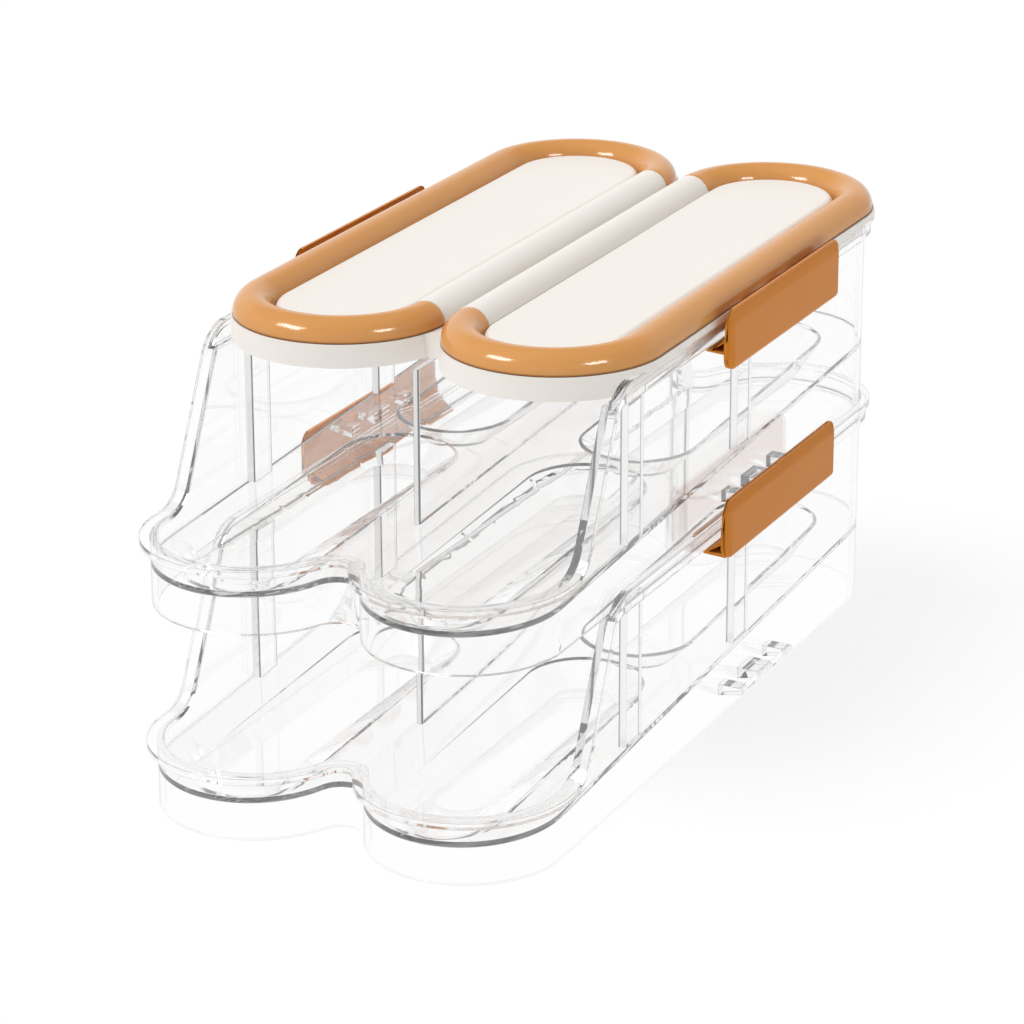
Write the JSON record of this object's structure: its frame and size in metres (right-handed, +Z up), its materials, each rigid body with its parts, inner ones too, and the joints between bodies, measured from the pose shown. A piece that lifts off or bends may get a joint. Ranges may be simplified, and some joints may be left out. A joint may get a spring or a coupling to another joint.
{
  "type": "egg_keeper",
  "caption": "Two-tier rolling egg keeper: clear nested bins with open fronts, white lid with flip flaps in orange tubular rings, orange side latches.",
  "frame": {"origin": "centre of the footprint on the shelf", "axes": "+X across the two lanes to the right, -Y towards the open front where the eggs are taken out, +Z up"},
  "size_m": [0.1732, 0.3362, 0.1651],
  "materials": {
    "clear_plastic": "clear injection-moulded plastic",
    "white_plastic": "warm white moulded plastic",
    "orange_plastic": "caramel orange moulded plastic",
    "rod_steel": "plain drawn rod"
  },
  "bodies": {
    "stack": {"lower_bin": "clear_plastic", "upper_bin": "clear_plastic", "lid_base": "white_plastic", "left_trim_ring": "orange_plastic", "right_trim_ring": "orange_plastic", "left_hinge_rod": "rod_steel", "right_hinge_rod": "rod_steel"},
    "left_flap": {"left_flap": "white_plastic"},
    "right_flap": {"right_flap": "white_plastic"},
    "lid_latch_left": {"lid_latch_left": "orange_plastic"},
    "lid_latch_right": {"lid_latch_right": "orange_plastic"},
    "bin_latch_left": {"bin_latch_left": "orange_plastic"},
    "bin_latch_right": {"bin_latch_right": "orange_plastic"}
  },
  "joints": [
    {"name": "left_flap_hinge", "type": "hinge", "parent": "stack", "child": "left_flap", "pos_m": [-0.0086, 0, 0.158], "axis": [0, 1, 0], "range_deg": [0, 90]},
    {"name": "lid_latch_left_hinge", "type": "hinge", "parent": "stack", "child": "lid_latch_left", "pos_m": [-0.0835, 0, 0.156], "axis": [0, 1, 0], "range_deg": [0, 50]},
    {"name": "bin_latch_left_hinge", "type": "hinge", "parent": "stack", "child": "bin_latch_left", "pos_m": [-0.0835, 0, 0.0864], "axis": [0, 1, 0], "range_deg": [0, 75]},
    {"name": "right_flap_hinge", "type": "hinge", "parent": "stack", "child": "right_flap", "pos_m": [0.0086, 0, 0.158], "axis": [0, -1, 0], "range_deg": [0, 90]},
    {"name": "lid_latch_right_hinge", "type": "hinge", "parent": "stack", "child": "lid_latch_right", "pos_m": [0.0835, 0, 0.156], "axis": [0, -1, 0], "range_deg": [0, 50]},
    {"name": "bin_latch_right_hinge", "type": "hinge", "parent": "stack", "child": "bin_latch_right", "pos_m": [0.0835, 0, 0.0864], "axis": [0, -1, 0], "range_deg": [0, 75]}
  ]
}
